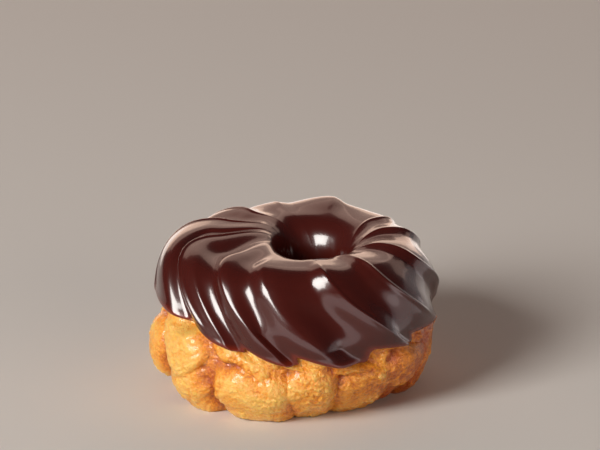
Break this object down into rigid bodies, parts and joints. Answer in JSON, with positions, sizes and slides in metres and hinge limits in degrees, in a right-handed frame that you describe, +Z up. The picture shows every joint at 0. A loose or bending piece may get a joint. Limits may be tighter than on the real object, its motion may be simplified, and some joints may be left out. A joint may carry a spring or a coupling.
{
  "type": "cruller doughnut",
  "caption": "Ring-shaped fried choux pastry with deep twisted ridges, its upper half coated in smooth chocolate icing, with a round hole through the middle.",
  "frame": {"origin": "on the surface it stands on, under the middle of the whole ring's box", "axes": "+Z up through the hole, -Y towards the front as shown, +X to the right as shown"},
  "size_m": [0.084, 0.0834, 0.0471],
  "materials": {
    "fried_dough": "golden-brown fried choux crust, lightly blistered, with a thin film of oil",
    "chocolate": "set dark chocolate icing, smooth and very glossy"
  },
  "bodies": {
    "root": {"dough_ring": "fried_dough", "chocolate_icing": "chocolate"}
  },
  "joints": []
}
